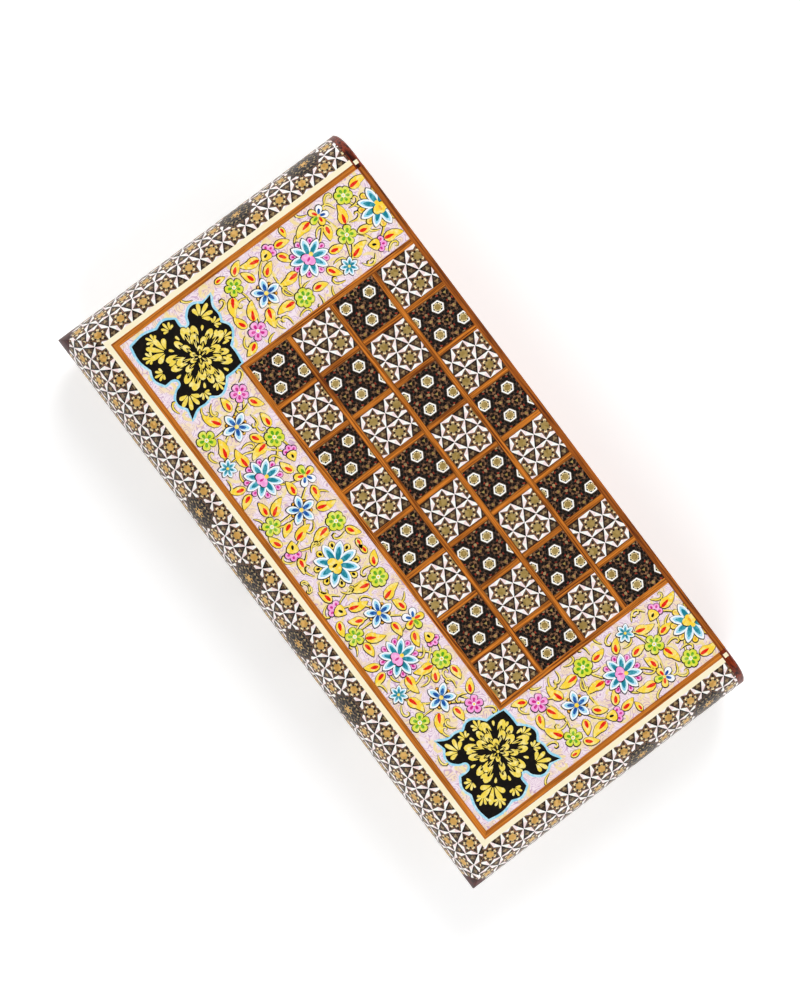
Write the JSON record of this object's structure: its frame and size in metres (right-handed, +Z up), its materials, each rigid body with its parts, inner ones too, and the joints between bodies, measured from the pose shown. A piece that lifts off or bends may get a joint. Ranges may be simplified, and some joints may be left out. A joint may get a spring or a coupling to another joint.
{
  "type": "backgammon board",
  "caption": "Folding backgammon board with a chessboard outside, painted border, marquetry mouldings and brass hinges.",
  "frame": {"origin": "middle of the underside of the closed board, hinge barrels included", "axes": "+X along the hinge to the right seen from the front, +Y towards the hinge side, +Z up"},
  "size_m": [0.5, 0.2528, 0.074],
  "materials": {
    "rail_wood": "lacquered hardwood, orange-brown",
    "banding_wood": "lacquered hardwood veneer, orange-brown",
    "rosewood": "lacquered dark rosewood",
    "bone": "polished bone under lacquer",
    "light_marquetry": "star marquetry of bone, wood and brass, lacquered",
    "dark_marquetry": "dark star marquetry of ebony, wood, bone and brass, lacquered",
    "panel_wood": "plain plywood",
    "field_wood": "lacquered walnut veneer",
    "painted_panel": "painted flowers on a pale ground, lacquered",
    "nickel_magnet": "nickel-plated disc magnet",
    "brass": "polished brass"
  },
  "bodies": {
    "base": {"base_front_rail": "rail_wood", "base_right_end_rail": "rail_wood", "base_left_end_rail": "rail_wood", "base_hinge_rail": "rail_wood", "base_end_caps": "rosewood", "base_cap_pegs": "bone", "base_corner_tips": "rosewood", "base_front_khatam": "light_marquetry", "base_right_end_khatam": "light_marquetry", "base_left_end_khatam": "light_marquetry", "base_panel": "panel_wood", "base_playing_field": "field_wood", "base_right_point_rail": "rosewood", "base_left_point_rail": "rosewood", "base_painted_border": "painted_panel", "base_bone_banding": "bone", "base_wood_banding": "banding_wood", "base_lattice_edge_strips": "banding_wood", "base_lattice_long_strips": "banding_wood", "base_lattice_cross_strips": "banding_wood", "base_dark_squares": "dark_marquetry", "base_light_squares": "light_marquetry", "base_dark_points": "dark_marquetry", "base_light_points": "light_marquetry", "base_magnets": "nickel_magnet", "base_hinge_screws": "brass", "left_hinge_base_leaf": "brass", "left_hinge_pin": "brass", "right_hinge_base_leaf": "brass", "right_hinge_pin": "brass"},
    "lid": {"lid_front_rail": "rail_wood", "lid_right_end_rail": "rail_wood", "lid_left_end_rail": "rail_wood", "lid_hinge_rail": "rail_wood", "lid_end_caps": "rosewood", "lid_cap_pegs": "bone", "lid_corner_tips": "rosewood", "lid_front_khatam": "light_marquetry", "lid_right_end_khatam": "light_marquetry", "lid_left_end_khatam": "light_marquetry", "lid_panel": "panel_wood", "lid_playing_field": "field_wood", "lid_right_point_rail": "rosewood", "lid_left_point_rail": "rosewood", "lid_painted_border": "painted_panel", "lid_bone_banding": "bone", "lid_wood_banding": "banding_wood", "lid_lattice_edge_strips": "banding_wood", "lid_lattice_long_strips": "banding_wood", "lid_lattice_cross_strips": "banding_wood", "lid_dark_squares": "dark_marquetry", "lid_light_squares": "light_marquetry", "lid_dark_points": "dark_marquetry", "lid_light_points": "light_marquetry", "lid_magnets": "nickel_magnet", "lid_hinge_screws": "brass", "left_hinge_lid_leaf": "brass", "right_hinge_lid_leaf": "brass"}
  },
  "joints": [
    {"name": "lid_hinge", "type": "hinge", "parent": "base", "child": "lid", "pos_m": [0, 0.12387, 0.037], "axis": [-1, 0, 0], "range_deg": [0, 180]}
  ]
}
